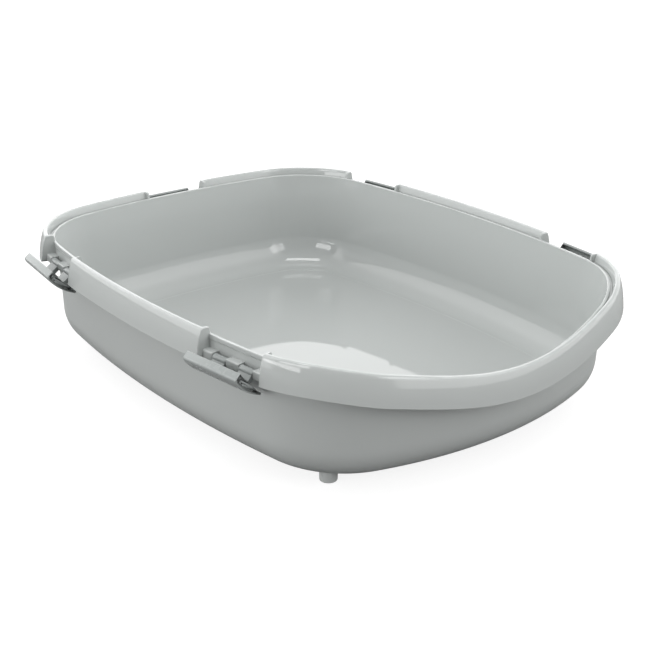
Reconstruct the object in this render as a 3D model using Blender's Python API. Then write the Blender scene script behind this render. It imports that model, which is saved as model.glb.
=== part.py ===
"""Open litter tray: one moulded basin with a raised rim, five swinging clips on pins, and four feet.

Metres, +Z up. The origin is on the floor under the middle of the overall length and width. The long axis is Y, the
low entry side faces -Y. Heights of the rim and the clips are given from the bead, the thin inner edge that the rim
is built on, and distances across the wall are given outwards from the same edge.
"""

import math

import bmesh
import bpy
import numpy as np
from mathutils import Matrix

MM = 0.001

# Plan of the bead edge: long sides, ends and corners are arcs that meet tangentially.
HALF_LENGTH = 263.2 * MM
HALF_WIDTH = 206.4 * MM
SIDE_RADIUS = 1210.3 * MM
FRONT_RADIUS = 415.2 * MM
BACK_RADIUS = 858.1 * MM
FRONT_CORNER = 98.4 * MM
BACK_CORNER = 88.1 * MM
STEPS_SIDE, STEPS_CORNER, STEPS_END = 5, 8, 4
# The clip at the back reaches further than the entry side, so the plan's centre sits this far along Y.
PLAN_Y = -9.0 * MM

# Heights
FOOT_HEIGHT = 11.3 * MM
BEAD_HEIGHT = 120.4 * MM
FLOOR_UNDER = FOOT_HEIGHT - BEAD_HEIGHT
WALL = 2.6 * MM
FILLET_START = -76 * MM
FILLET_ACROSS = 28 * MM
FILLET_STEPS = 6

# The rim sinks towards the middle of the entry side.
DIP_DEPTH = 30.5 * MM
DIP_START = -170.8 * MM
DIP_POWER = 4.0
RIM_FOOT = -24 * MM

# Rim band: outside of the raised ridge and its apron, and the channel under it.
BAND = [(-3.9, -20.3), (-2.2, -12), (0, -6), (1.2, -2.6), (5.2, -2.6), (6.4, 3.6), (7.0, 5.9), (8.0, 6.7),
        (9.8, 6.7), (11.2, 6.0), (12.0, 4.2), (13.3, -2.5), (15.0, -11), (16.85, -20.3)]
CHANNEL = [(-6, -23), (-6, -5.4), (5.8, -5.4), (8.3, 1), (9.0, 4.1), (10.0, 4.0), (11.1, -2.5), (12.8, -11),
           (14.6, -20.3), (15.1, -23)]

# Windows for the clips, with the hinge pad and its three blocks.
WINDOW_HALF = 36.2 * MM
WEB = 2.4 * MM
FILL = [(0.3, -3.2), (1.6, 5.2), (2.6, 6.3), (8.7, 6.3), (7.3, -3.3)]
PAD = [(0.8, -1.6), (1.9, -1.6), (1.9, -22.6), (-3.5, -22.6), (-1.8, -12), (0.3, -5.5)]
BLOCK_INNER, BLOCK_OUTER = -2.5 * MM, 9.6 * MM
BLOCK_TOP, BLOCK_BOTTOM = -12.0 * MM, -19.8 * MM
BLOCK_MIDDLE_HALF = 7.8 * MM
BLOCK_END_START = 25.1 * MM
FRONT_CLIP_Y, BACK_CLIP_Y = -137.7 * MM, 157.5 * MM

# Hinge and clip; the clip's section is given from the hinge axis, outwards and up.
AXIS_OUT, AXIS_HEIGHT = 6.5 * MM, -16.2 * MM
PIN_RADIUS, PIN_HALF = 1.3 * MM, 34.0 * MM
CLEARANCE = 0.3 * MM
KNUCKLE_START, KNUCKLE_END = 8.3 * MM, 24.6 * MM
CLIP_HALF = 32.5 * MM
COVER = [(22.8, 10.4), (28.4, 5.4), (26.7, 1.4), (23.2, -2.4), (19.3, -6.1), (14.8, -9.5), (8.2, -13.1), (0.9, -16)]
COVER_THICK = 2.3 * MM
ARM = [(-3.2, 1.4), (-1.6, 3.1), (0.8, 3.4), (3.2, 1.8), (5.0, -1.4), (11.0, -5.2), (18.0, -4.2), (14.4, -8.3),
       (8.4, -10.2), (2.4, -5.6), (0.4, -3.5), (-2.3, -2.6), (-3.5, -0.6)]
RIB = [(22.0, 4.6), (25.3, 1.6), (22.3, -1.9), (18.5, -5.4), (14.2, -8.3), (8.6, -10.2), (6.4, -8.4), (13.0, -2.0)]
RIB_HALF = 0.9 * MM
RIB_PLACES = [-31.6 * MM, -28.0 * MM, -3.4 * MM, 3.4 * MM, 28.0 * MM, 31.6 * MM]
RIB_HOLES = [(21.6, 1.0), (16.8, -3.0)]
RIB_HOLE_RADIUS = 0.9 * MM

# Feet
FOOT_X, FOOT_Y = 145.7 * MM, 190.0 * MM
FOOT_RADIUS = 8.1 * MM
FOOT_SOCKET = 1.2 * MM

for old in list(bpy.data.objects):
    bpy.data.objects.remove(old, do_unlink=True)


def collection(name, helper=False):
    made = bpy.data.collections.new(name)
    made.hide_render = helper
    bpy.context.scene.collection.children.link(made)
    return made


TRAY = collection("litter_tray")
HELPERS = collection("helpers", helper=True)


def material(name, colour, roughness):
    made = bpy.data.materials.new(name)
    made.use_nodes = True
    shader = made.node_tree.nodes["Principled BSDF"]
    shader.inputs["Base Color"].default_value = (*colour, 1)
    shader.inputs["Roughness"].default_value = roughness
    shader.inputs["Metallic"].default_value = 0
    return made


def add(name, mesh, owner):
    made = bpy.data.objects.new(name, mesh)
    owner.objects.link(made)
    if owner is HELPERS:
        made.hide_render = True
        made.display_type = "WIRE"
    return made


def mesh_of(name, points, faces):
    """A mesh whose faces are turned outwards."""
    made = bpy.data.meshes.new(name)
    made.from_pydata([tuple(p) for p in points], [], faces)
    work = bmesh.new()
    work.from_mesh(made)
    bmesh.ops.recalc_face_normals(work, faces=work.faces)
    work.to_mesh(made)
    work.free()
    return made


def quarter(end_radius, corner, offset):
    """One quadrant of the plan moved outwards by offset, from (half width, 0) round to (0, half length)."""
    side_c = np.array([HALF_WIDTH - SIDE_RADIUS, 0.0])
    end_c = np.array([0.0, HALF_LENGTH - end_radius])
    d_side, d_end = SIDE_RADIUS - corner, end_radius - corner
    apart = end_c - side_c
    length = math.hypot(*apart)
    along = (d_side**2 - d_end**2 + length**2) / (2 * length)
    across = math.sqrt(d_side**2 - along**2)
    centre = side_c + along * apart / length + across * np.array([-apart[1], apart[0]]) / length
    turn_1 = math.atan2(*(centre - side_c)[::-1])
    turn_2 = math.atan2(*(centre - end_c)[::-1])
    arcs = [(side_c, SIDE_RADIUS, 0, turn_1, STEPS_SIDE), (centre, corner, turn_1, turn_2, STEPS_CORNER),
            (end_c, end_radius, turn_2, math.pi / 2, STEPS_END)]
    points = []
    for c, radius, start, stop, steps in arcs:
        turns = np.linspace(start, stop, steps + 1)[:-1]
        points.append(c + (radius + offset) * np.stack([np.cos(turns), np.sin(turns)], axis=1))
    return np.concatenate(points + [[[0.0, HALF_LENGTH + offset]]])


def plan(offset):
    """The whole plan, anticlockwise from (half width, 0)."""
    back = quarter(BACK_RADIUS, BACK_CORNER, offset)
    front = quarter(FRONT_RADIUS, FRONT_CORNER, offset)
    return np.concatenate([back[:-1], (back * [-1, 1])[:0:-1], (front * [-1, -1])[:-1], (front * [1, -1])[:0:-1]])


BEAD_Y = plan(0.0)[:, 1]
SINK = DIP_DEPTH * np.clip((DIP_START - BEAD_Y) / (DIP_START + HALF_LENGTH), 0, None) ** DIP_POWER


def ring(offset, height):
    """The plan at one offset and height from the bead, lowered where the rim sinks."""
    share = min(max((height - FILLET_START) / (RIM_FOOT - FILLET_START), 0), 1)
    xy = plan(offset) + [0, PLAN_Y]
    return np.column_stack([xy, BEAD_HEIGHT + height - share * SINK])


def lofted(name, section, closed, owner):
    """Rings through the section's (offset, height) pairs; a closed section makes a hoop, an open one gets two caps."""
    rings = [ring(offset, height) for offset, height in section]
    count, around = len(rings), len(rings[0])
    faces = []
    for i in range(count if closed else count - 1):
        j = (i + 1) % count
        for k in range(around):
            m = (k + 1) % around
            faces.append((i * around + k, i * around + m, j * around + m, j * around + k))
    if not closed:
        faces.append(tuple(range(around)))
        faces.append(tuple((count - 1) * around + k for k in range(around)))
    return add(name, mesh_of(name, np.concatenate(rings), faces), owner)


def millimetres(section):
    return [(x * MM, y * MM) for x, y in section]


def extruded(name, section, start, stop):
    """A plate: the (outwards, up) section carried along the hinge from start to stop."""
    count = len(section)
    points = [(x, along, z) for along in (start, stop) for x, z in section]
    faces = [tuple(range(count)), tuple(range(count, 2 * count))]
    faces += [(i, (i + 1) % count, count + (i + 1) % count, count + i) for i in range(count)]
    return add(name, mesh_of(name, points, faces), HELPERS)


def rod(name, radius, start, stop, owner, x=0.0, z=0.0, sides=16):
    """A round bar along the hinge direction."""
    work = bmesh.new()
    bmesh.ops.create_cone(work, cap_ends=True, segments=sides, radius1=radius, radius2=radius, depth=stop - start)
    bmesh.ops.rotate(work, matrix=Matrix.Rotation(math.pi / 2, 3, "X"), verts=work.verts)
    bmesh.ops.translate(work, vec=(x, (start + stop) / 2, z), verts=work.verts)
    made = bpy.data.meshes.new(name)
    work.to_mesh(made)
    work.free()
    return add(name, made, owner)


def boolean(target, other, operation):
    modifier = target.modifiers.new(f"{operation.lower()}_{other.name}", "BOOLEAN")
    modifier.operation = operation
    modifier.solver = "EXACT"
    modifier.object = other


def evaluated(target):
    """The mesh of an object with its modifiers done."""
    return bpy.data.meshes.new_from_object(target.evaluated_get(bpy.context.evaluated_depsgraph_get()))


def joined(name, shapes):
    """One helper that holds separate shapes, each given with the matrix that places it."""
    work = bmesh.new()
    for shape, matrix in shapes:
        start = len(work.verts)
        work.from_mesh(shape.data)
        work.verts.ensure_lookup_table()
        bmesh.ops.transform(work, matrix=matrix, verts=work.verts[start:])
    made = bpy.data.meshes.new(name)
    work.to_mesh(made)
    work.free()
    return add(name, made, HELPERS)


def seat(turn, x, y):
    """Frame of a clip window: X outwards, Y along the hinge, Z up, from the bead edge."""
    return Matrix.Translation((x, y + PLAN_Y, BEAD_HEIGHT)) @ Matrix.Rotation(turn, 4, "Z")


def side_seat(y, sign):
    turn = math.asin(y / SIDE_RADIUS)
    x = HALF_WIDTH - SIDE_RADIUS + SIDE_RADIUS * math.cos(turn)
    return seat(turn if sign > 0 else math.pi - turn, sign * x, y)


SEATS = {
    "front_left": side_seat(FRONT_CLIP_Y, -1),
    "back_left": side_seat(BACK_CLIP_Y, -1),
    "back": seat(math.pi / 2, 0.0, HALF_LENGTH),
    "back_right": side_seat(BACK_CLIP_Y, 1),
    "front_right": side_seat(FRONT_CLIP_Y, 1),
}


def box_section(x0, x1, z0, z1):
    return [(x0, z0), (x1, z0), (x1, z1), (x0, z1)]


# Basin: up the outside, over the bead and down the inside.
def wall_side(foot, floor, across):
    turns = np.linspace(math.pi / 2, 0, FILLET_STEPS + 1)
    rise = FILLET_START - floor
    return [(foot - across * (1 - math.cos(t)), FILLET_START - rise * math.sin(t)) for t in turns]


outside = wall_side(-4.1 * MM, FLOOR_UNDER, FILLET_ACROSS)
outside += millimetres([(-2.6, -24), (-0.6, -10), (1.0, -5.4), (2.4, -4.4), (2.8, -3.6), (2.8, -0.8), (2.2, 0)])
inside = millimetres([(0.5, 0), (0, -0.5), (-0.3, -2.4), (-1.2, -5), (-3.4, -12), (-5.2, -24)])
inside += wall_side(-6.7 * MM, FLOOR_UNDER + WALL, FILLET_ACROSS)[::-1]
tray = lofted("tray", outside + inside, False, TRAY)

# Rim band, opened into windows, hollow underneath and closed by a web at each end, where its groove is filled too.
window = extruded("window", box_section(-9 * MM, 32 * MM, -34 * MM, 14 * MM), -WINDOW_HALF, WINDOW_HALF)
webbed = extruded("webbed", box_section(-12 * MM, 36 * MM, -38 * MM, 18 * MM), -WINDOW_HALF - WEB, WINDOW_HALF + WEB)
windows = joined("windows", [(window, m) for m in SEATS.values()])
webbed_windows = joined("webbed_windows", [(webbed, m) for m in SEATS.values()])
channel = lofted("channel", millimetres(CHANNEL), True, HELPERS)
boolean(channel, webbed_windows, "DIFFERENCE")
band = lofted("band", millimetres(BAND), True, HELPERS)
fill_half = WINDOW_HALF + WEB
fill = extruded("fill", millimetres(FILL), -fill_half, fill_half)
boolean(band, joined("fills", [(fill, m) for m in SEATS.values()]), "UNION")
boolean(band, windows, "DIFFERENCE")
boolean(band, channel, "DIFFERENCE")
boolean(tray, band, "UNION")

# Hinge pads and blocks
padded = extruded("padded", box_section(-9 * MM, 32 * MM, -34 * MM, 14 * MM), -WINDOW_HALF - MM, WINDOW_HALF + MM)
padded_windows = joined("padded_windows", [(padded, m) for m in SEATS.values()])
pads = lofted("pads", millimetres(PAD), True, HELPERS)
boolean(pads, padded_windows, "INTERSECT")
boolean(tray, pads, "UNION")
block = box_section(BLOCK_INNER, BLOCK_OUTER, BLOCK_BOTTOM, BLOCK_TOP)
spans = [(-WINDOW_HALF - 1.6 * MM, -BLOCK_END_START), (-BLOCK_MIDDLE_HALF, BLOCK_MIDDLE_HALF),
         (BLOCK_END_START, WINDOW_HALF + 1.6 * MM)]
block_set = [extruded(f"block_{i}", block, *span) for i, span in enumerate(spans)]
blocks = joined("blocks", [(b, m) for m in SEATS.values() for b in block_set])
boolean(tray, blocks, "UNION")
bore = rod("bore", PIN_RADIUS + CLEARANCE, -PIN_HALF - CLEARANCE, PIN_HALF + CLEARANCE, HELPERS,
           AXIS_OUT, AXIS_HEIGHT)
bores = joined("bores", [(bore, m) for m in SEATS.values()])
boolean(tray, bores, "DIFFERENCE")

# Sockets for the feet
FEET = {"front_left": (-1, -1), "front_right": (1, -1), "back_left": (-1, 1), "back_right": (1, 1)}


def upright(name, radius, bottom, top, owner, sides=32):
    work = bmesh.new()
    bmesh.ops.create_cone(work, cap_ends=True, segments=sides, radius1=radius, radius2=radius, depth=top - bottom)
    bmesh.ops.translate(work, vec=(0, 0, (bottom + top) / 2), verts=work.verts)
    made = bpy.data.meshes.new(name)
    work.to_mesh(made)
    work.free()
    return add(name, made, owner)


socket = upright("socket", FOOT_RADIUS + CLEARANCE, FOOT_HEIGHT - 5 * MM, FOOT_HEIGHT + FOOT_SOCKET, HELPERS)
places = {name: Matrix.Translation((sx * FOOT_X, sy * FOOT_Y + PLAN_Y, 0)) for name, (sx, sy) in FEET.items()}
sockets = joined("sockets", [(socket, m) for m in places.values()])
boolean(tray, sockets, "DIFFERENCE")
tray.data.materials.append(material("tray_plastic", (0.40, 0.42, 0.41), 0.32))


# Clip: a curved cover with a hook shelf along its top, ribs inside and two arms with knuckles.
def thick(section, depth):
    """A closed outline from a bent line and the same line moved inwards."""
    line = np.array(section)
    step = np.diff(line, axis=0)
    step /= np.linalg.norm(step, axis=1)[:, None]
    normal = np.column_stack([step[:, 1], -step[:, 0]])
    corner = np.vstack([normal[:1], normal[:-1] + normal[1:], normal[-1:]])
    corner /= np.linalg.norm(corner, axis=1)[:, None]
    lean = np.concatenate([[1.0], (corner[1:-1] * normal[1:]).sum(axis=1), [1.0]])
    inner = line + depth * corner / lean[:, None]
    return [tuple(p) for p in line] + [tuple(p) for p in inner[::-1]]


cover = extruded("cover", thick(millimetres(COVER), COVER_THICK), -CLIP_HALF, CLIP_HALF)
for i, (start, stop) in enumerate([(-KNUCKLE_END, -KNUCKLE_START), (KNUCKLE_START, KNUCKLE_END)]):
    boolean(cover, extruded(f"arm_{i}", millimetres(ARM), start, stop), "UNION")
for i, place in enumerate(RIB_PLACES):
    boolean(cover, extruded(f"rib_{i}", millimetres(RIB), place - RIB_HALF, place + RIB_HALF), "UNION")
boolean(cover, rod("knuckle_bore", PIN_RADIUS + CLEARANCE, -40 * MM, 40 * MM, HELPERS), "DIFFERENCE")
for i, (x, z) in enumerate(millimetres(RIB_HOLES)):
    for j, (start, stop) in enumerate([(-40 * MM, -30 * MM), (30 * MM, 40 * MM)]):
        hole = rod(f"rib_hole_{i}_{j}", RIB_HOLE_RADIUS, start, stop, HELPERS, x, z, 8)
        boolean(cover, hole, "DIFFERENCE")
clip_mesh = evaluated(cover)
pin_helper = rod("pin", PIN_RADIUS, -PIN_HALF, PIN_HALF, HELPERS)
clip_plastic = material("clip_plastic", (0.34, 0.36, 0.355), 0.38)
pin_plastic = material("pin_plastic", (0.22, 0.23, 0.23), 0.45)
for name, frame in SEATS.items():
    axis = frame @ Matrix.Translation((AXIS_OUT, 0, AXIS_HEIGHT))
    for kind, mesh, finish in (("clip", clip_mesh, clip_plastic), ("pin", pin_helper.data, pin_plastic)):
        piece = add(f"{kind}_{name}", mesh.copy(), TRAY)
        piece.matrix_world = axis
        piece.data.materials.clear()
        piece.data.materials.append(finish)

foot_shape = upright("foot", FOOT_RADIUS, 0, FOOT_HEIGHT + FOOT_SOCKET - CLEARANCE, HELPERS)
foot_plastic = material("foot_plastic", (0.33, 0.35, 0.345), 0.5)
for name, place in places.items():
    foot = add(f"foot_{name}", foot_shape.data.copy(), TRAY)
    foot.matrix_world = place
    foot.data.materials.append(foot_plastic)
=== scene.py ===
# %% [markdown]
# # An open litter tray, one surface at a time
# A litter tray is a shallow plastic basin with a stiff rim. This one stands on four short feet, and five clips hang
# on pins in its rim, where they hook over the edge of a hood. Every piece below is a surface worked out with numpy
# and laid around a fixed frame: the solid model, with its pins and hinges, is loaded first, and nothing in it moves.

# %% Load the solid model
import math

import bpy
import numpy as np
from mathutils import Matrix


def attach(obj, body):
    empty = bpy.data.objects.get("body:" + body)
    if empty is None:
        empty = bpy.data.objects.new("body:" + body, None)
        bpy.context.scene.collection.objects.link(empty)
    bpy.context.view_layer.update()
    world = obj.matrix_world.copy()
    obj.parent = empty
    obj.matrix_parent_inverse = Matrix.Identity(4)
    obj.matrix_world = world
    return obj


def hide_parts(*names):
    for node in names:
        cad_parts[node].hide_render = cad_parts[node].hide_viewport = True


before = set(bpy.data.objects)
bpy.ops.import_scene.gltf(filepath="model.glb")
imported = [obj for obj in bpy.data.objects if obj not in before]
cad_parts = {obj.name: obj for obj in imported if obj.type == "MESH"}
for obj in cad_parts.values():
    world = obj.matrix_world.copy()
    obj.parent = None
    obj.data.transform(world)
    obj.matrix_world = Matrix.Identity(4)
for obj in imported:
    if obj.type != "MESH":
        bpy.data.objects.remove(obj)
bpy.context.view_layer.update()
MM = 0.001

# %% [markdown]
# ## Where the viewer stands
# The tray is seen from above its front left corner, from about a metre and a half away with a rather long lens. The
# camera's three axes are written out as they are and made square to each other, which is plainer than three angles.

# %% Camera
CAMERA_PLACE = np.array([-0.7660, -0.9558, 0.5423])
LOOKS_ALONG = np.array([0.5836, 0.7184, -0.3786])
RIGHT = np.array([0.7786, -0.6275, 0.0095])
lens = bpy.data.cameras.new("camera")
lens.lens = 72.12
lens.sensor_width = 36
camera = bpy.data.objects.new("camera", lens)
bpy.context.scene.collection.objects.link(camera)
back = -LOOKS_ALONG / np.linalg.norm(LOOKS_ALONG)
right = RIGHT - back * (RIGHT @ back)
right /= np.linalg.norm(right)
axes = np.eye(4)
axes[:3, :4] = np.column_stack([right, np.cross(back, right), back, CAMERA_PLACE])
camera.matrix_world = Matrix(axes.tolist())
bpy.context.scene.camera = camera
bpy.context.scene.view_settings.view_transform = "Standard"
print("camera", np.round(CAMERA_PLACE, 3))

# %% [markdown]
# ## The plan of the basin
# Seen from above, the thin inner edge of the rim (the bead) is twelve arcs that meet without a kink: long flat ones
# along the sides and ends, tight ones round the corners. A spline would drift away from the solid model, so the arcs
# are kept, and everything on the rim is placed by how far along this line it is, how far out from it, and how high.

# %% The bead line
HALF_LENGTH, HALF_WIDTH = 263.2 * MM, 206.4 * MM
SIDE_RADIUS, FRONT_RADIUS, BACK_RADIUS = 1210.3 * MM, 415.2 * MM, 858.1 * MM
FRONT_CORNER, BACK_CORNER = 98.4 * MM, 88.1 * MM
PLAN_Y = -9.0 * MM


def quadrant(end_radius, corner):
    """Rows of (centre x, centre y, radius, first angle, last angle) for a side, a corner and an end arc.

    The corner's centre is where a circle round the side's centre, of the difference of their radii, crosses the same
    circle round the end's centre."""
    side = np.array([HALF_WIDTH - SIDE_RADIUS, 0.0])
    end = np.array([0.0, HALF_LENGTH - end_radius])
    apart = end - side
    length = np.hypot(*apart)
    along = ((SIDE_RADIUS - corner)**2 - (end_radius - corner)**2 + length**2) / (2 * length)
    across = math.sqrt((SIDE_RADIUS - corner)**2 - along**2)
    centre = side + (along * apart + across * np.array([-apart[1], apart[0]])) / length
    first = math.atan2(*(centre - side)[::-1])
    second = math.atan2(*(centre - end)[::-1])
    return np.array([[*side, SIDE_RADIUS, 0, first], [*centre, corner, first, second],
                     [*end, end_radius, second, math.pi / 2]])


def mirrored(arcs, flip_x, flip_y):
    """The same arcs in another quadrant, still anticlockwise: a flip of one axis turns angle a into pi - a or -a."""
    made = arcs.copy()
    made[:, 0] *= flip_x
    made[:, 1] *= flip_y
    if flip_x < 0 < flip_y:
        made[:, 3:] = math.pi - arcs[:, :2:-1]
        return made[::-1]
    if flip_x < 0:
        made[:, 3:] = math.pi + arcs[:, 3:]
        return made
    made[:, 3:] = 2 * math.pi - arcs[:, :2:-1]
    return made[::-1]


back_arcs, front_arcs = quadrant(BACK_RADIUS, BACK_CORNER), quadrant(FRONT_RADIUS, FRONT_CORNER)
ARCS = np.concatenate([back_arcs, mirrored(back_arcs, -1, 1), mirrored(front_arcs, -1, -1),
                       mirrored(front_arcs, 1, -1)])
ARC_STARTS = np.concatenate([[0], np.cumsum(ARCS[:, 2] * (ARCS[:, 4] - ARCS[:, 3]))])
ROUND_TRIP = ARC_STARTS[-1]


def bead_line(along):
    """Points and outward directions at distances along the bead: centre + radius (cos a, sin a), with the angle a
    growing evenly along each arc."""
    along = np.mod(along, ROUND_TRIP)
    which = np.clip(np.searchsorted(ARC_STARTS, along, side="right") - 1, 0, len(ARCS) - 1)
    arc = ARCS[which]
    angle = arc[..., 3] + (along - ARC_STARTS[which]) / arc[..., 2]
    outward = np.stack([np.cos(angle), np.sin(angle)], -1)
    return arc[..., :2] + arc[..., 2, None] * outward, outward


print("bead line, mm:", round(ROUND_TRIP / MM))

# %% [markdown]
# ## The height of the rim
# The rim is level, except that it sinks by 30 mm towards the middle of the front, where the cat steps in. The wall
# under it takes up the change, and its foot stays level.

# %% Points on the rim
BEAD_HEIGHT = 120.4 * MM
FLOOR_UNDER = -109.1 * MM
WALL_FOOT = -76 * MM
RIM_FOOT = -24 * MM
DIP_DEPTH, DIP_START, DIP_POWER = 30.5 * MM, -170.8 * MM, 4.0


def carried(out, up, along):
    """Points x, y = bead point + out times outward direction, z = bead height + up - share times dip. The dip grows
    with the fourth power of how far the bead point lies in front of where it starts; the share runs from 0 at the
    wall's foot to 1 at the rim."""
    out, up, along = np.broadcast_arrays(out, up, along)
    point, outward = bead_line(along)
    ahead = np.clip((DIP_START - point[..., 1]) / (DIP_START + HALF_LENGTH), 0, None)
    share = np.clip((up - WALL_FOOT) / (RIM_FOOT - WALL_FOOT), 0, 1)
    place = point + outward * out[..., None] + [0, PLAN_Y]
    return np.concatenate([place, (BEAD_HEIGHT + up - share * DIP_DEPTH * ahead**DIP_POWER)[..., None]], -1)


# %% [markdown]
# ## Outlines with soft corners
# A moulded part has no sharp edges: even a crisp one is rounded by half a millimetre, and that thin curve is what
# catches the light. So each section is drawn as a few corner points, and every corner is swapped for a short curve.

# %% Rounding an outline
CORNER_STEPS = 5
MOST_OF_SIDE = 0.4
NEIGHBOUR = 1.22


def rounded(corners, reach, steps=CORNER_STEPS, shut=True):
    """Corner points in mm to a fine outline in metres. Each corner C becomes (1-t)^2 A + 2t(1-t) C + t^2 B, where A
    and B lie the corner's reach before and behind it. A and B have a neighbour a little further out, which keeps the
    flat stretches between the corners flat. A reach that is too long stops short of the middle of its side."""
    corners = np.array(corners, float) * MM
    before, after = np.roll(corners, 1, axis=0), np.roll(corners, -1, axis=0)
    if not shut:
        before[0], after[-1] = corners[0], corners[-1]
    back_way, on_way = before - corners, after - corners
    back_length = np.linalg.norm(back_way, axis=1, keepdims=True)
    on_length = np.linalg.norm(on_way, axis=1, keepdims=True)
    reach = np.broadcast_to(np.array(reach, float), len(corners))[:, None] * MM
    start = corners + back_way / np.maximum(back_length, 1e-9) * np.minimum(reach, MOST_OF_SIDE * back_length)
    stop = corners + on_way / np.maximum(on_length, 1e-9) * np.minimum(reach, MOST_OF_SIDE * on_length)
    t = np.linspace(0, 1, steps)[None, :, None]
    curve = (1 - t)**2 * start[:, None] + 2 * t * (1 - t) * corners[:, None] + t**2 * stop[:, None]
    ends = [(corners + NEIGHBOUR * (end - corners))[:, None] for end in (start, stop)]
    fine = np.concatenate([ends[0], curve, ends[1]], axis=1)
    if not shut:
        return np.concatenate([corners[:1], fine[1:-1].reshape(-1, 2), corners[-1:]])
    return fine.reshape(-1, 2)


# %% [markdown]
# ## From a grid of points to a skin
# All pieces share one way of becoming a mesh. A grid of points closes round one way, and the other way either closes
# too, ends in a flat face, or shrinks to a point. The volume under the faces says whether they point outwards.

# %% Skin over a grid
def skin(name, grid, ends="flat"):
    """A closed skin over points (rows, around, 3): point (i, j) joins (i, j+1), (i+1, j+1) and (i+1, j). Its volume
    is a sixth of the sum of a . (b x c) over its triangles, and a negative one means that the faces turn round."""
    rows, around = grid.shape[:2]
    index = np.arange(rows * around).reshape(rows, around)
    points = grid.reshape(-1, 3)
    below, above = (index, np.roll(index, -1, axis=0)) if ends == "loop" else (index[:-1], index[1:])
    faces = np.stack([below, np.roll(below, -1, 1), np.roll(above, -1, 1), above], -1).reshape(-1, 4).tolist()
    if ends == "flat":
        faces += [index[0, ::-1].tolist(), index[-1].tolist()]
    if ends == "point":
        tips = len(points) + np.arange(2)
        points = np.concatenate([points, grid[[0, -1]].mean(axis=1)])
        first = np.stack([np.roll(index[0], -1), index[0], np.full(around, tips[0])], -1)
        last = np.stack([index[-1], np.roll(index[-1], -1), np.full(around, tips[1])], -1)
        faces += first.tolist() + last.tolist()
    mesh = bpy.data.meshes.new(name)
    mesh.from_pydata(points.tolist(), [], faces)
    mesh.calc_loop_triangles()
    corners = np.empty(len(mesh.loop_triangles) * 3, np.int32)
    mesh.loop_triangles.foreach_get("vertices", corners)
    a, b, c = points[corners.reshape(-1, 3)].transpose(1, 0, 2)
    if (a * np.cross(b, c)).sum() < 0:
        mesh.flip_normals()
    return mesh


# %% [markdown]
# ## Which edges are touched
# Hands, shovels and stacking wear the outer edges of a tray first. How sharply a surface bends is a good guide to
# where that happens, so it is measured on each finished mesh and kept as a value on its points for the materials.

# %% Bend of a mesh
WORN_RADIUS = 1.4 * MM


def mark_edges(mesh):
    """Value "edge" per point, 0 to 1. On each mesh edge the bend is the angle between its two faces over the distance
    between their middles, counted where the surface is convex; 1 is a radius of WORN_RADIUS or less."""
    count = len(mesh.polygons)
    normals, middles = np.empty(count * 3), np.empty(count * 3)
    mesh.polygons.foreach_get("normal", normals)
    mesh.polygons.foreach_get("center", middles)
    normals, middles = normals.reshape(-1, 3), middles.reshape(-1, 3)
    sizes = np.empty(count, np.int32)
    mesh.polygons.foreach_get("loop_total", sizes)
    owner = np.repeat(np.arange(count), sizes)
    edge = np.empty(len(mesh.loops), np.int32)
    mesh.loops.foreach_get("edge_index", edge)
    order = np.argsort(edge, kind="stable")
    edge, owner = edge[order], owner[order]
    pair = np.flatnonzero(edge[1:] == edge[:-1])
    one, two = owner[pair], owner[pair + 1]
    apart = middles[two] - middles[one]
    cosine = np.clip((normals[one] * normals[two]).sum(1), -1, 1)
    bend = np.arccos(cosine) / np.maximum(np.linalg.norm(apart, axis=1), 1e-6)
    bend *= (apart * normals[one]).sum(1) < 0
    ends = np.empty(len(mesh.edges) * 2, np.int32)
    mesh.edges.foreach_get("vertices", ends)
    value = np.zeros(len(mesh.vertices))
    for column in ends.reshape(-1, 2)[edge[pair]].T:
        np.maximum.at(value, column, np.clip(bend * WORN_RADIUS, 0, 1))
    mesh.attributes.new("edge", "FLOAT", "POINT").data.foreach_set("value", value.astype(np.float32))


def mark_polish(mesh, value):
    """Value "polish" per point: 1 for a mirror finished mould, 0 for a blasted one."""
    value = np.broadcast_to(np.asarray(value, np.float32), len(mesh.vertices))
    mesh.attributes.new("polish", "FLOAT", "POINT").data.foreach_set("value", np.ascontiguousarray(value))


# %% [markdown]
# ## Moulded plastic
# The whole tray is polypropylene. Its mould is polished inside the basin and on the rim, so litter slides off, and
# blasted outside, which leaves a satin skin. The colour is never quite even, since pigment follows the flow of the
# melt, and the skin carries fine scratches. These three effects are groups of nodes that every finish shares.

# %% Node helpers
def node(tree, kind, **settings):
    """A new node with its settings; a setting with a number for a name, such as in_1, is that input's value."""
    made = tree.nodes.new(kind)
    for key, value in settings.items():
        if key.startswith("in_"):
            made.inputs[int(key[3:])].default_value = value
        else:
            setattr(made, key, value)
    return made


def group(name, inputs, outputs):
    """An empty node group with float, vector or colour sockets, and its two end nodes."""
    kinds = {"value": "NodeSocketFloat", "vector": "NodeSocketVector", "colour": "NodeSocketColor"}
    tree = bpy.data.node_groups.new(name, "ShaderNodeTree")
    for direction, sockets in (("INPUT", inputs), ("OUTPUT", outputs)):
        for label, kind in sockets:
            tree.interface.new_socket(name=label, in_out=direction, socket_type=kinds[kind])
    return tree, tree.nodes.new("NodeGroupInput"), tree.nodes.new("NodeGroupOutput")


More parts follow.
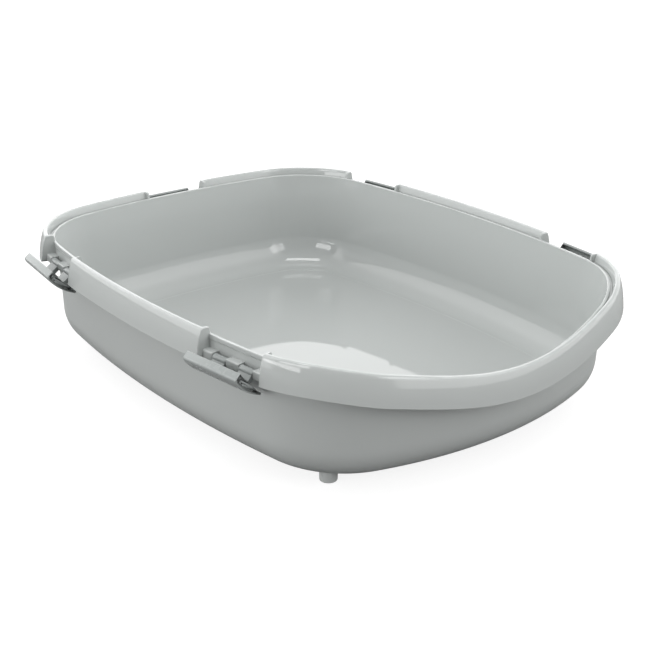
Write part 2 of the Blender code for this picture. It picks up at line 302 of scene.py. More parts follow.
# %% Melt: uneven colour
def melt_group():
    """Colour = lighter mixed with darker by a cloud of slow noise plus a little fast noise."""
    tree, given, out = group("melt", [("Vector", "vector"), ("Colour", "colour"), ("Darker", "colour"),
                                      ("Amount", "value")], [("Colour", "colour"), ("Cloud", "value")])
    slow = node(tree, "ShaderNodeTexNoise", in_2=7.0, in_3=3.0)
    fast = node(tree, "ShaderNodeTexNoise", in_2=160.0, in_3=4.0)
    both = node(tree, "ShaderNodeMix", data_type="FLOAT", in_0=0.25)
    scaled = node(tree, "ShaderNodeMath", operation="MULTIPLY")
    paint = node(tree, "ShaderNodeMix", data_type="RGBA")
    link = tree.links.new
    link(given.outputs["Vector"], slow.inputs["Vector"])
    link(given.outputs["Vector"], fast.inputs["Vector"])
    link(slow.outputs[0], both.inputs[2])
    link(fast.outputs[0], both.inputs[3])
    link(both.outputs[0], scaled.inputs[0])
    link(given.outputs["Amount"], scaled.inputs[1])
    link(scaled.outputs[0], paint.inputs[0])
    link(given.outputs["Colour"], paint.inputs[6])
    link(given.outputs["Darker"], paint.inputs[7])
    link(paint.outputs[2], out.inputs["Colour"])
    link(both.outputs[0], out.inputs["Cloud"])
    return tree


# %% Grain: the blasted mould
def grain_group():
    """Height = fine noise times depth, fading to nothing where the mould is polished, plus the slow waviness that
    every large flat wall has after it cools."""
    tree, given, out = group("grain", [("Vector", "vector"), ("Polish", "value"), ("Depth", "value"),
                                       ("Wave", "value")], [("Height", "value")])
    fine = node(tree, "ShaderNodeTexNoise", in_2=1400.0, in_3=2.0)
    wave = node(tree, "ShaderNodeTexNoise", in_2=13.0, in_3=1.0)
    rough = node(tree, "ShaderNodeMath", operation="SUBTRACT", in_0=1.0)
    deep = node(tree, "ShaderNodeMath", operation="MULTIPLY")
    shallow = node(tree, "ShaderNodeMath", operation="MULTIPLY")
    slow = node(tree, "ShaderNodeMath", operation="MULTIPLY")
    total = node(tree, "ShaderNodeMath", operation="ADD")
    link = tree.links.new
    link(given.outputs["Vector"], fine.inputs["Vector"])
    link(given.outputs["Vector"], wave.inputs["Vector"])
    link(given.outputs["Polish"], rough.inputs[1])
    link(rough.outputs[0], deep.inputs[0])
    link(given.outputs["Depth"], deep.inputs[1])
    link(deep.outputs[0], shallow.inputs[0])
    link(fine.outputs[0], shallow.inputs[1])
    link(wave.outputs[0], slow.inputs[0])
    link(given.outputs["Wave"], slow.inputs[1])
    link(shallow.outputs[0], total.inputs[0])
    link(slow.outputs[0], total.inputs[1])
    link(total.outputs[0], out.inputs["Height"])
    return tree


# %% Wear: rubbed edges and hair scratches
def wear_group():
    """Rub = edge value times a patchy noise. Scratch = the thin crests of noise stretched along one way, kept only in
    scattered patches."""
    tree, given, out = group("wear", [("Vector", "vector"), ("Edge", "value"), ("Rubbed", "value"),
                                      ("Scratched", "value")], [("Rub", "value"), ("Scratch", "value")])
    patch = node(tree, "ShaderNodeTexNoise", in_2=55.0, in_3=4.0)
    near = node(tree, "ShaderNodeMapRange", in_1=0.42, in_2=0.62)
    rub = node(tree, "ShaderNodeMath", operation="MULTIPLY")
    rub_most = node(tree, "ShaderNodeMath", operation="MULTIPLY")
    stretch = node(tree, "ShaderNodeMapping", vector_type="TEXTURE")
    stretch.inputs["Rotation"].default_value = (0.2, 0.1, 0.6)
    stretch.inputs["Scale"].default_value = (0.0016, 0.06, 0.02)
    hair = node(tree, "ShaderNodeTexNoise", in_2=1.0, in_3=1.0)
    crest = node(tree, "ShaderNodeMapRange", in_1=0.70, in_2=0.76)
    where = node(tree, "ShaderNodeTexNoise", in_2=16.0, in_3=2.0)
    spots = node(tree, "ShaderNodeMapRange", in_1=0.5, in_2=0.66)
    scratch = node(tree, "ShaderNodeMath", operation="MULTIPLY")
    scratch_most = node(tree, "ShaderNodeMath", operation="MULTIPLY")
    link = tree.links.new
    link(given.outputs["Vector"], patch.inputs["Vector"])
    link(given.outputs["Vector"], stretch.inputs["Vector"])
    link(given.outputs["Vector"], where.inputs["Vector"])
    link(patch.outputs[0], near.inputs[0])
    link(near.outputs[0], rub.inputs[0])
    link(given.outputs["Edge"], rub.inputs[1])
    link(rub.outputs[0], rub_most.inputs[0])
    link(given.outputs["Rubbed"], rub_most.inputs[1])
    link(rub_most.outputs[0], out.inputs["Rub"])
    link(stretch.outputs[0], hair.inputs["Vector"])
    link(hair.outputs[0], crest.inputs[0])
    link(where.outputs[0], spots.inputs[0])
    link(crest.outputs[0], scratch.inputs[0])
    link(spots.outputs[0], scratch.inputs[1])
    link(scratch.outputs[0], scratch_most.inputs[0])
    link(given.outputs["Scratched"], scratch_most.inputs[1])
    link(scratch_most.outputs[0], out.inputs["Scratch"])
    return tree


GROUPS = {"melt": melt_group(), "grain": grain_group(), "wear": wear_group()}
print("shared effects:", ", ".join(GROUPS))


# %% [markdown]
# ## One recipe for each finish
# The finishes differ in colour, gloss, grain and wear, not in kind, so one function builds them all. Colour comes from
# the melt, lightened where an edge is rubbed. Roughness runs from the polished value to the blasted one, and rises in
# scratches. Only what changes over the surface is wired; the rest is typed into the shader.

# %% Plastic
CLOUD_ROUGHNESS, RUB_ROUGHNESS = 0.03, 0.25
BUMP_DEPTH = 0.1 * MM


def use(tree, name, **values):
    """A shared effect placed in a material, with its own values."""
    made = tree.nodes.new("ShaderNodeGroup")
    made.node_tree = GROUPS[name]
    for key, value in values.items():
        made.inputs[key].default_value = value
    return made


def plastic(name, colour, darker, gloss, satin, grain, rubbed, scratched, wave=0.0, fill=0.4):
    """A moulded finish: gloss and satin are the roughness of its polished and its blasted parts."""
    made = bpy.data.materials.new(name)
    made.use_nodes = True
    tree = made.node_tree
    link = tree.links.new
    shader = tree.nodes["Principled BSDF"]
    shader.inputs["Metallic"].default_value = 0.0
    shader.inputs["IOR"].default_value = 1.49
    place = tree.nodes.new("ShaderNodeTexCoord").outputs["Object"]
    edge = node(tree, "ShaderNodeAttribute", attribute_name="edge").outputs["Fac"]
    polish = node(tree, "ShaderNodeAttribute", attribute_name="polish").outputs["Fac"]
    melt = use(tree, "melt", Colour=(*colour, 1), Darker=(*darker, 1), Amount=fill)
    skin_grain = use(tree, "grain", Depth=grain, Wave=wave)
    wear = use(tree, "wear", Rubbed=rubbed, Scratched=scratched)
    for used in (melt, skin_grain, wear):
        link(place, used.inputs["Vector"])
    link(polish, skin_grain.inputs["Polish"])
    link(edge, wear.inputs["Edge"])
    lighter = node(tree, "ShaderNodeMix", data_type="RGBA")
    lighter.inputs[7].default_value = (*[min(1, 1.35 * c + 0.05) for c in colour], 1)
    link(wear.outputs["Rub"], lighter.inputs[0])
    link(melt.outputs["Colour"], lighter.inputs[6])
    link(lighter.outputs[2], shader.inputs["Base Color"])
    base = node(tree, "ShaderNodeMapRange", in_3=satin, in_4=gloss)
    cloud = node(tree, "ShaderNodeMath", operation="MULTIPLY_ADD", in_1=CLOUD_ROUGHNESS)
    scuffed = node(tree, "ShaderNodeMath", operation="ADD")
    rubbed_more = node(tree, "ShaderNodeMath", operation="MULTIPLY_ADD", in_1=RUB_ROUGHNESS)
    link(polish, base.inputs[0])
    link(melt.outputs["Cloud"], cloud.inputs[0])
    link(base.outputs[0], cloud.inputs[2])
    link(cloud.outputs[0], scuffed.inputs[0])
    link(wear.outputs["Scratch"], scuffed.inputs[1])
    link(wear.outputs["Rub"], rubbed_more.inputs[0])
    link(scuffed.outputs[0], rubbed_more.inputs[2])
    link(rubbed_more.outputs[0], shader.inputs["Roughness"])
    bump = node(tree, "ShaderNodeBump")
    bump.inputs["Strength"].default_value = 1.0
    bump.inputs["Distance"].default_value = BUMP_DEPTH
    link(skin_grain.outputs["Height"], bump.inputs["Height"])
    link(bump.outputs[0], shader.inputs["Normal"])
    return made


TRAY_PLASTIC = plastic("tray_plastic", (0.432, 0.450, 0.443), (0.398, 0.420, 0.410), 0.02, 0.34, grain=0.5, wave=1.2,
                       rubbed=0.35, scratched=0.12)
# The clips are moulded in the tray's grey. Their colour here is darker than the tray's, which paints in the shade that
# falls in the clip's hollows and under its shelf.
SHADED_CLIP_PLASTIC = plastic("clip_plastic", (0.30, 0.32, 0.315), (0.26, 0.28, 0.275), 0.2, 0.34, grain=0.4, rubbed=0.25,
                       scratched=0.2)
PIN_PLASTIC = plastic("pin_plastic", (0.42, 0.44, 0.435), (0.36, 0.38, 0.375), 0.22, 0.3, grain=0.3, rubbed=0.3,
                      scratched=0.3)
# The feet's colour is lighter than the tray's. This paints in the light that the floor would bounce up onto them,
# which the studio floor does not give back.
LIT_FOOT_PLASTIC = plastic("foot_plastic", (0.52, 0.54, 0.53), (0.46, 0.48, 0.47), 0.3, 0.42, grain=0.6, rubbed=0.6,
                       scratched=0.3)

# %% [markdown]
# ## Finished pieces
# Each piece gets its normals smoothed up to a fairly sharp angle, its edge and polish values, a finish, and the body
# that carries it.

# %% Finish a piece
SHARP = math.radians(38)
PIECES = {}


def finish(mesh, body, material, polish=1.0, stands_for=()):
    """The mesh becomes an object at the origin that rides on a body."""
    if "edge" not in mesh.attributes:
        mark_edges(mesh)
    mark_polish(mesh, polish)
    mesh.shade_smooth()
    mesh.set_sharp_from_angle(angle=SHARP)
    mesh.materials.clear()
    mesh.materials.append(material)
    piece = bpy.data.objects.new(mesh.name, mesh)
    bpy.context.scene.collection.objects.link(piece)
    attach(piece, body)
    for solid in stands_for:
        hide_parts(solid)
    PIECES[piece.name] = piece
    return piece


# %% [markdown]
# ## The basin
# The basin is one wall folded up from a flat floor: a wide soft curve at the foot, an almost upright wall, and the
# bead at the top. It could be drawn as a solid and hollowed with a modifier, but the inside and the outside differ
# near the bead, so the section goes up one side, over the top and down the other, and is carried round the bead line.
# The outside keeps the satin of a blasted mould, and the polish starts where the section reaches the bead.

# %% Basin
FOOT_ACROSS = 28.0
COLUMNS = 480
FOOT_STEPS = 22
CREASE_ANGLE = math.radians(14)
FIRST_BEAD_CORNER = 6
POLISH_FADE = 3


def foot_curve(top_out, floor):
    """A quarter of an ellipse from the floor up to the wall's foot: out = top - across (1 - cos t), up = foot - rise
    sin t, with t from a quarter turn down to nothing."""
    t = np.linspace(math.pi / 2, 0, FOOT_STEPS)
    rise = WALL_FOOT - floor
    return np.column_stack([top_out * MM - FOOT_ACROSS * MM * (1 - np.cos(t)), WALL_FOOT - rise * np.sin(t)])


over_bead = rounded([(-4.1, -76), (-3.1, -50), (-1.6, -27), (0.2, -12), (1.2, -6), (2.4, -4.4), (2.8, -3.4),
                     (2.8, 0), (0.1, 0), (-0.2, -2.4), (-2.0, -13), (-3.9, -26), (-5.5, -50), (-6.6, -74.5)],
                    [0, 8, 8, 4, 1, 0.6, 0.6, 0.9, 0.9, 0.9, 4, 9, 9, 0], shut=False)
t = np.linspace(0, 1, FOOT_STEPS)[:, None]
CREASE, FLOOR_EDGE, FLOOR_TOP = np.array([-6.7, -76.0]), np.array([-34.7, -106.1]), -106.5
pull = np.array([CREASE[0] - math.tan(CREASE_ANGLE) * (CREASE[1] - FLOOR_EDGE[1]), FLOOR_EDGE[1]])
inner_foot = ((1 - t)**2 * CREASE + 2 * t * (1 - t) * pull + t**2 * FLOOR_EDGE) * MM
floor_step = rounded([(-34.9, -106.1), (-35.9, -106.15), (-37.1, FLOOR_TOP), (-39.5, FLOOR_TOP)],
                     [0, 0.5, 0.5, 0], steps=4, shut=False)
section = np.concatenate([foot_curve(-4.1, FLOOR_UNDER), over_bead[1:], inner_foot, floor_step[1:]])
columns = np.linspace(0, ROUND_TRIP, COLUMNS, endpoint=False)
wall = carried(section[:, :1], section[:, 1:], columns[None])
inwards = np.array([0.99, 0.9, 0.75, 0.5, 0.28, 0.12, 0.03])[:, None, None]
middle = np.array([0, PLAN_Y, 0])


def shrunk(ring):
    """Smaller and smaller copies of a level ring round the middle of the plan."""
    centre = middle + [0, 0, 1] * ring[0, 0]
    return centre + (ring - centre) * inwards


basin_grid = np.concatenate([shrunk(wall[:1])[::-1], wall, shrunk(wall[-1:])])
basin = skin("basin", basin_grid, ends="point")
inside_from = len(inwards) + FOOT_STEPS + 1 + (FIRST_BEAD_CORNER - 1) * (CORNER_STEPS + 2)
polish_rows = np.clip((np.arange(len(basin_grid)) - inside_from) / POLISH_FADE, 0, 1)
polish = np.concatenate([np.repeat(polish_rows, COLUMNS), [0, 1]])
finish(basin, "tray", TRAY_PLASTIC, polish, ["tray"])
print("basin:", len(basin.polygons), "faces")

# %% [markdown]
# ## The rim
# Outside the bead runs a ridge that the hood sits on, with a groove before it and an apron behind. The five windows
# for the clips cut it into five lengths. Each length is hollow underneath, and its last few millimetres are solid,
# which also fills the groove there. One outline is used all along, in two states, and it changes from the solid state
# to the hollow one within a third of a millimetre, so that each length is still one clean closed skin. The apron is
# slightly full in the middle, because a flat one reflects the room as one dull band.

# %% Sections of the rim
def rim_outline(filled, hollow):
    """The rim's outline in one state. Both states have the same number of points, in the same order."""
    groove = [(1.2, -2.6), (5.0, -2.6)] if not filled else [(1.0, -1.4), (2.0, 5.4)]
    ridge = [(6.4, 3.6), (7.2, 6.2), (8.2, 6.7), (9.8, 6.7), (11.3, 6.0), (12.5, 3.4)]
    if filled:
        ridge[:3] = [(3.2, 6.3), (5.5, 6.7), (8.2, 6.7)]
    apron = [(14.4, -3.0), (15.9, -11), (16.85, -20.3)]
    under = [(14.7, -20.3), (12.9, -11), (11.1, -2.5), (10.0, 3.6), (9.0, 3.8), (8.2, 1.0), (6.0, -5.2), (1.3, -5.2),
             (-0.3, -11.8), (-1.6, -20.3)]
    if not hollow:
        share = np.linspace(0, 1, len(under))[:, None]
        under = (np.array(under[0]) * (1 - share) + np.array(under[-1]) * share).tolist()
    inner = [(-1.9, -20.3), (-0.7, -12), (0.7, -6)]
    corners = inner + groove + ridge + apron + under
    reach = [0.2, 2, 2, 0.5, 0.9, 1.2, 0.9, 0.9, 0.9, 0.9, 2.4, 3.4, 4, 0.45, 0.45] + [0.5] * (len(under) - 1)
    return rounded(corners, reach, steps=4)


def inset(outline, depth):
    """The outline moved inwards along its normals, which are the tangents turned by a quarter."""
    tangent = np.roll(outline, -1, axis=0) - np.roll(outline, 1, axis=0)
    length = np.maximum(np.linalg.norm(tangent, axis=1, keepdims=True), 1e-9)
    normal = np.column_stack([tangent[:, 1], -tangent[:, 0]]) / length
    turn = np.sign(np.sum(outline[:, 0] * np.roll(outline[:, 1], -1) - outline[:, 1] * np.roll(outline[:, 0], -1)))
    return outline - turn * normal * depth


# %% Lengths of the rim
WINDOW_HALF = 36.2 * MM
FRONT_CLIP_Y, BACK_CLIP_Y = -137.7 * MM, 157.5 * MM
SOLID_END = 2.4 * MM
END_ROUND = 1.0 * MM
PITCH = 5.0 * MM


def along_side(y, sign):
    """Distance along the bead to the side point with this y: radius times angle, from either side's arc."""
    angle = math.asin(y / SIDE_RADIUS)
    right_side = SIDE_RADIUS * angle
    half_way = ARC_STARTS[6]
    return right_side % ROUND_TRIP if sign > 0 else half_way - SIDE_RADIUS * angle


WINDOWS = {
    "back_right": along_side(BACK_CLIP_Y, 1),
    "back": ARC_STARTS[3],
    "back_left": along_side(BACK_CLIP_Y, -1),
    "front_left": along_side(FRONT_CLIP_Y, -1),
    "front_right": along_side(FRONT_CLIP_Y, 1),
}
turns = np.radians([0, 22, 45, 68, 90])
FLAT_RING = 0.3 * MM
CHANGE, AFTER_CHANGE = 0.3 * MM, 1.5 * MM
end_places = np.concatenate([[0], END_ROUND * (1 - np.cos(turns)),
                             [SOLID_END, SOLID_END + CHANGE, SOLID_END + AFTER_CHANGE]])
end_insets = np.concatenate([[END_ROUND + FLAT_RING], END_ROUND * (1 - np.sin(turns))])
solid_outline, open_outline = rim_outline(True, False), rim_outline(False, True)
end_outlines = [inset(solid_outline, depth) for depth in end_insets] + [solid_outline, open_outline, open_outline]


def rim_length(name, start, stop):
    """Rows of outlines along the bead from start to stop: a rounded solid end, the hollow part, and the same end
    turned round."""
    body = stop - start - 2 * end_places[-1]
    inner = np.linspace(0, body, int(body / PITCH) + 1)[1:-1]
    places = np.concatenate([start + end_places, start + end_places[-1] + inner, stop - end_places[::-1]])
    rows = np.stack(end_outlines + [open_outline] * len(inner) + end_outlines[::-1])
    return skin(name, carried(rows[..., 0], rows[..., 1], places[:, None]))


names = list(WINDOWS)
for name, following in zip(names, names[1:] + names[:1]):
    start, stop = WINDOWS[name] + WINDOW_HALF, WINDOWS[following] - WINDOW_HALF
    stop += ROUND_TRIP * (stop < start)
    piece = finish(rim_length(f"rim_{name}_to_{following}", start, stop), "tray", TRAY_PLASTIC)
    print(piece.name, round((stop - start) / MM), "mm")

# %% [markdown]
# ## Seats for the clips
# In each window a shallow pad thickens the wall, and three blocks stand out of it to hold the hinge pin. The blocks
# are short bars with a blind or a through hole. Rings with a skin of their own would do for the through hole, but a
# Boolean with one long bore drills all three alike, and its result is kept as a plain mesh.

# %% Bars and rings along the hinge
def bar(outline, start, stop, soft=0.5 * MM):
    """Grid of a bar: the outline (out, up) carried along the hinge, with both ends rounded by a quarter circle, where
    the inset is soft (1 - sin) and the place soft (1 - cos). A ring just inside each end face keeps it flat."""
    depth = np.concatenate([[1.5 * soft], soft * (1 - np.sin(turns))])
    place = np.concatenate([[0], soft * (1 - np.cos(turns))])
    rows = np.stack([inset(outline, d) for d in np.concatenate([depth, depth[::-1]])])
    places = np.concatenate([start + place, stop - place[::-1]])
    return np.stack([rows[..., 0], np.broadcast_to(places[:, None], rows.shape[:2]), rows[..., 1]], -1)


def circle(radius, around, centre=(0, 0)):
    """Points centre + radius (cos a, sin a)."""
    angle = np.linspace(0, 2 * math.pi, around, endpoint=False)
    return np.column_stack([np.cos(angle), np.sin(angle)]) * radius + centre


def placed(mesh, name, matrix):
    """A copy of a mesh with the matrix worked into its points."""
    made = mesh.copy()
    made.name = name
    made.transform(matrix)
    return made


def seat_of(name):
    """Matrix of a window: X outwards, Y along the hinge, Z up, from the bead."""
    point, outward = bead_line(np.array(WINDOWS[name]))
    turned = Matrix.Rotation(math.atan2(outward[1], outward[0]), 4, "Z")
    return Matrix.Translation((point[0], point[1] + PLAN_Y, BEAD_HEIGHT)) @ turned


# %% Fusing and drilling
def fused(name, parts, holes=()):
    """One clean mesh of parts that overlap, with the holes taken out of it."""
    objects = [bpy.data.objects.new(part.name, part) for part in [*parts, *holes]]
    for item in objects:
        bpy.context.scene.collection.objects.link(item)
    for i, other in enumerate(objects[1:], 1):
        step = objects[0].modifiers.new(other.name, "BOOLEAN")
        step.object = other
        step.solver = "EXACT"
        step.operation = "UNION" if i < len(parts) else "DIFFERENCE"
    graph = bpy.context.evaluated_depsgraph_get()
    made = bpy.data.meshes.new_from_object(objects[0].evaluated_get(graph))
    made.name = name
    for item in objects:
        bpy.data.objects.remove(item, do_unlink=True)
    return made


# %% Pads, blocks and pins
AXIS_OUT, AXIS_UP = 6.5, -16.2
PIN_RADIUS, PIN_HALF = 1.3 * MM, 34.0 * MM
BORE, CLEARANCE = 1.6 * MM, 0.3 * MM
KEEN = 0.01 * MM
BLOCK_SPANS = [(-37.4, -25.1), (-7.8, 7.8), (25.1, 37.4)]
pad_outline = rounded([(0.8, -1.6), (1.9, -1.6), (1.9, -22.6), (-2.2, -22.6), (-0.6, -12), (0.6, -5.5)],
                      [0.2, 0.5, 0.5, 0.2, 2, 1], steps=4)
block_outline = rounded([(-0.6, -19.8), (9.6, -19.8), (9.6, -12.0), (-0.6, -12.0)], [0.3, 1.1, 1.4, 0.3], steps=6)
axis_point = np.array([AXIS_OUT, AXIS_UP]) * MM
bore_mesh = skin("bore", bar(circle(BORE, 40, axis_point), -PIN_HALF - CLEARANCE, PIN_HALF + CLEARANCE, KEEN))
block_meshes = [skin("block", bar(block_outline, start * MM, stop * MM)) for start, stop in BLOCK_SPANS]
drilled = [fused("block", [block], [bore_mesh.copy()]) for block in block_meshes]
pin_mesh = skin("pin", bar(circle(PIN_RADIUS, 40), -PIN_HALF, PIN_HALF, 0.4 * MM))
for name, along in WINDOWS.items():
    places = np.linspace(along - WINDOW_HALF - MM, along + WINDOW_HALF + MM, 16)[:, None]
    finish(skin(f"pad_{name}", carried(pad_outline[None, :, 0], pad_outline[None, :, 1], places)), "tray",
           TRAY_PLASTIC, 0.8)
    seat = seat_of(name)
    for place, block in zip(("near", "middle", "far"), drilled):
        finish(placed(block, f"block_{place}_{name}", seat), "tray", TRAY_PLASTIC, 0.7)
    axis = seat @ Matrix.Translation((AXIS_OUT * MM, 0, AXIS_UP * MM))
    finish(placed(pin_mesh, f"hinge_rod_{name}", axis), "tray", PIN_PLASTIC, 0.8, [f"pin_{name}"])
print("seats:", len(WINDOWS))

# %% [markdown]
# ## The clips
# A clip is a curved cover with a hook shelf along its top, two arms that end in knuckles on the pin, and thin ribs
# inside. It is drawn once about its hinge axis from outlines, and fused, because a moulded clip is a single body.
# Then it is copied to the five windows.

# %% One clip
CLIP_HALF = 32.5 * MM
COVER_THICK = 2.3
KNUCKLE_RADIUS = 3.5 * MM
ARM_INSET = 0.35
RIB_HALF = 0.9
HOLE_RADIUS = 0.9 * MM
COVER = np.array([(22.8, 10.4), (28.4, 5.4), (26.7, 1.4), (23.2, -2.4), (19.3, -6.1), (14.8, -9.5), (8.2, -13.1),
                  (0.9, -16.0)])
ARM = [(-1.2, 1.6), (1.6, 1.8), (4.2, -1.2), (9.6, -5.4), (16.6, -5.2), (14.2, -8.4), (8.4, -10.2), (2.4, -5.6),
       (-0.6, -2.4)]
RIB = [(22.0, 4.6), (25.3, 1.6), (22.3, -1.9), (18.5, -5.4), (14.2, -8.3), (8.6, -10.2), (6.4, -8.4), (13.0, -2.0)]
KNUCKLES = [(-24.6, -8.3), (8.3, 24.6)]
RIB_PLACES = [-31.6, -28.0, -3.4, 3.4, 28.0, 31.6]
RIB_HOLES = [(21.6, 1.0), (16.8, -3.0)]
SMOOTH = 99


def thickened(line, depth):
    """A closed outline: the line, then the same line moved inwards by depth and turned round. At a bend the move is
    along the mean normal, longer by one over its lean, so that the wall keeps its thickness."""
    step = np.diff(line, axis=0)
    step /= np.linalg.norm(step, axis=1, keepdims=True)
    normal = np.column_stack([step[:, 1], -step[:, 0]])
    mean = np.vstack([normal[:1], normal[:-1] + normal[1:], normal[-1:]])
    mean /= np.linalg.norm(mean, axis=1, keepdims=True)
    lean = np.concatenate([[1], (mean[1:-1] * normal[1:]).sum(1), [1]])
    return np.concatenate([line, (line + depth * mean / lean[:, None])[::-1]])


cover_reach = [0.8, 1.4] + [SMOOTH] * 5 + [0.8, 0.8] + [SMOOTH] * 5 + [0.6, 0.8]
cover_outline = rounded(thickened(COVER, COVER_THICK), cover_reach, steps=6)
parts = [skin("cover", bar(cover_outline, -CLIP_HALF, CLIP_HALF, 0.6 * MM))]
for start, stop in KNUCKLES:
    parts.append(skin("knuckle", bar(circle(KNUCKLE_RADIUS, 48), start * MM, stop * MM)))
    parts.append(skin("arm", bar(rounded(ARM, 3.0), (start + ARM_INSET) * MM, (stop - ARM_INSET) * MM)))
for place in RIB_PLACES:
    ends = (place - RIB_HALF) * MM, (place + RIB_HALF) * MM
    parts.append(skin("rib", bar(rounded(RIB, 0.5, steps=4), *ends, 0.25 * MM)))
holes = [skin("bore", bar(circle(BORE, 40), -40 * MM, 40 * MM, KEEN))]
for out, up in RIB_HOLES:
    for start in (-40, 30):
        line = circle(HOLE_RADIUS, 20, (out * MM, up * MM))
        holes.append(skin("hole", bar(line, start * MM, (start + 10) * MM, KEEN)))
clip_mesh = fused("clip", parts, holes)
print("one clip:", len(clip_mesh.polygons), "faces")

# %% Five clips
mark_edges(clip_mesh)
# The clips wear the darkened clip colour, which is painted shade.
for name in WINDOWS:
    axis = seat_of(name) @ Matrix.Translation((AXIS_OUT * MM, 0, AXIS_UP * MM))
    finish(placed(clip_mesh, f"hook_clip_{name}", axis), f"clip_{name}", SHADED_CLIP_PLASTIC, 0.6,
           [f"clip_{name}"])

# %% [markdown]
# ## The feet
# Each foot is a round stub with a slightly tapered side, pushed into the floor. It is a turned shape: one line spun
# round an upright axis, here as a grid of radii and heights times a circle.

# %% Feet
FOOT_X, FOOT_Y = 145.7 * MM, 190.0 * MM
foot_line = rounded([(0.6, 1.6), (5.4, 1.6), (6.0, 0.0), (7.9, 0.0), (8.1, 11.6), (0.6, 11.9)],
                    [0.2, 0.5, 0.6, 1.2, 0.3, 0.2], shut=False)


def turned(line, centre, around=64):
    """x, y = centre + radius (cos, sin), z = height, for every pair of the line and every angle."""
    ring = circle(1.0, around)
    flat = line[:, 0, None, None] * ring + centre
    return np.concatenate([flat, np.broadcast_to(line[:, 1, None, None], (len(line), around, 1))], -1)


FOOT_WAYS = {"front_left": (-1, -1), "front_right": (1, -1), "back_left": (-1, 1), "back_right": (1, 1)}
# The feet's lighter colour is painted light from the floor below.
for name, way in FOOT_WAYS.items():
    centre = np.array([way[0] * FOOT_X, way[1] * FOOT_Y + PLAN_Y])
    finish(skin(f"stub_foot_{name}", turned(foot_line, centre)), "tray", LIT_FOOT_PLASTIC, 0.3,
           [f"foot_{name}"])
print("pieces:", len(PIECES))

# %% [markdown]
# ## Floor and light
# A grey tray in a white room takes its life from what it reflects. So the room is white behind and beside the tray
# and dim behind the viewer. The white shows as a patch on the glossy floor of the basin. Two high soft boxes beside
# the viewer give the glints in the far corner, one box overhead gives the line between them, and a low panel on the
# left lights the side wall. The studio floor looks white but gives little light back, so the lower body stays dark.

# %% Studio
SPREAD = 6.0
WHITER = 0.85
floor_mesh = bpy.data.meshes.new("studio_floor")
floor_mesh.from_pydata([(-SPREAD, -SPREAD, 0), (SPREAD, -SPREAD, 0), (SPREAD, SPREAD, 0), (-SPREAD, SPREAD, 0)], [],
                       [(0, 1, 2, 3)])
studio_floor = bpy.data.objects.new("studio_floor", floor_mesh)
bpy.context.scene.collection.objects.link(studio_floor)
paper = bpy.data.materials.new("studio_paper")
paper.use_nodes = True
sheet = paper.node_tree
paper_shader = sheet.nodes["Principled BSDF"]
paper_shader.inputs["Roughness"].default_value = 0.8
paper_shader.inputs["Emission Color"].default_value = (1, 1, 1, 1)
brighter = node(sheet, "ShaderNodeMath", operation="MULTIPLY", in_1=WHITER)
fibres = node(sheet, "ShaderNodeTexNoise", in_2=90.0, in_3=4.0)
tint = node(sheet, "ShaderNodeMix", data_type="RGBA", in_6=(0.2, 0.2, 0.2, 1), in_7=(0.23, 0.23, 0.23, 1))
for one, other in ((sheet.nodes.new("ShaderNodeLightPath").outputs["Is Camera Ray"], brighter.inputs[0]),
                   (brighter.outputs[0], paper_shader.inputs["Emission Strength"]),
                   (sheet.nodes.new("ShaderNodeTexCoord").outputs["Object"], fibres.inputs["Vector"]),
                   (fibres.outputs[0], tint.inputs[0]), (tint.outputs[2], paper_shader.inputs["Base Color"])):
    sheet.links.new(one, other)
floor_mesh.materials.append(paper)

# %% [markdown]
# The white part of the room is set by direction. The level part of a direction, made one long, is multiplied with the
# backdrop's own direction: the result is 1 straight behind the tray, and falls past -0.6 where the white ends.

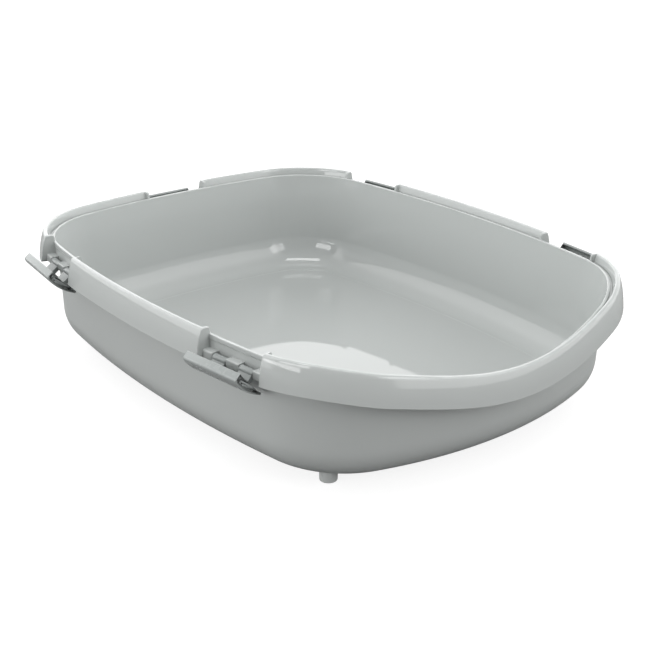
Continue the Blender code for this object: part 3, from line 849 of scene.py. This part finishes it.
# %% Surroundings
BACKDROP_WAY = (0.713, 0.701, 0.0)
WHITE_FROM, WHITE_TO = -0.62, -0.54
DIM, WHITE, CEILING = 0.14, 2.25, 0.55
room = bpy.data.worlds.new("room")
bpy.context.scene.world = room
room.use_nodes = True
sky = room.node_tree
way = sky.nodes.new("ShaderNodeTexCoord").outputs["Generated"]
level = node(sky, "ShaderNodeVectorMath", operation="MULTIPLY")
level.inputs[1].default_value = (1, 1, 0)
compass = node(sky, "ShaderNodeVectorMath", operation="NORMALIZE")
toward = node(sky, "ShaderNodeVectorMath", operation="DOT_PRODUCT")
toward.inputs[1].default_value = BACKDROP_WAY
glow = node(sky, "ShaderNodeMapRange", interpolation_type="SMOOTHSTEP", in_1=WHITE_FROM, in_2=WHITE_TO, in_3=DIM,
            in_4=WHITE)
up = node(sky, "ShaderNodeSeparateXYZ")
ceiling = node(sky, "ShaderNodeMapRange", in_1=0.5, in_2=0.8, in_3=0.0, in_4=1.0, interpolation_type="SMOOTHSTEP")
both = node(sky, "ShaderNodeMix", data_type="FLOAT", in_3=CEILING)
seen = sky.nodes.new("ShaderNodeLightPath").outputs["Is Camera Ray"]
shown = node(sky, "ShaderNodeMix", data_type="FLOAT", in_3=1.0)
for one, other in ((way, level.inputs[0]), (level.outputs[0], compass.inputs[0]),
                   (compass.outputs[0], toward.inputs[0]), (toward.outputs["Value"], glow.inputs[0]),
                   (way, up.inputs[0]), (up.outputs["Z"], ceiling.inputs[0]),
                   (glow.outputs[0], both.inputs[2]), (ceiling.outputs[0], both.inputs[0]),
                   (both.outputs[0], shown.inputs[2]), (seen, shown.inputs[0]),
                   (shown.outputs[0], sky.nodes["Background"].inputs["Strength"])):
    sky.links.new(one, other)
sky.nodes["Background"].inputs["Color"].default_value = (1.0, 1.0, 1.0, 1)

# %% Lamps
LAMP_DISTANCE = 3.0


def soft_lamp(name, azimuth, elevation, wide, tall, radiance):
    """A rectangular lamp seen from the tray at that azimuth from +X and that elevation, so many degrees wide and tall,
    and facing the tray. Its side is 2 distance tan(half its angle), its power radiance times pi times its area."""
    lamp = bpy.data.lights.new(name, "AREA")
    lamp.shape = "RECTANGLE"
    lamp.size, lamp.size_y = (2 * LAMP_DISTANCE * math.tan(math.radians(angle) / 2) for angle in (wide, tall))
    lamp.energy = radiance * math.pi * lamp.size * lamp.size_y
    made = bpy.data.objects.new(name, lamp)
    bpy.context.scene.collection.objects.link(made)
    made.matrix_world = (Matrix.Rotation(math.radians(azimuth) + math.pi / 2, 4, "Z")
                         @ Matrix.Rotation(math.pi / 2 - math.radians(elevation), 4, "X")
                         @ Matrix.Translation((0, 0, LAMP_DISTANCE)))


soft_lamp("left_box", 193, 24, 26, 11, 6.0)
soft_lamp("left_panel", 181, 11.5, 36, 7.5, 5.4)
soft_lamp("right_box", 281, 26, 24, 17, 3.8)
soft_lamp("overhead", 231, 79, 40, 14, 7.0)
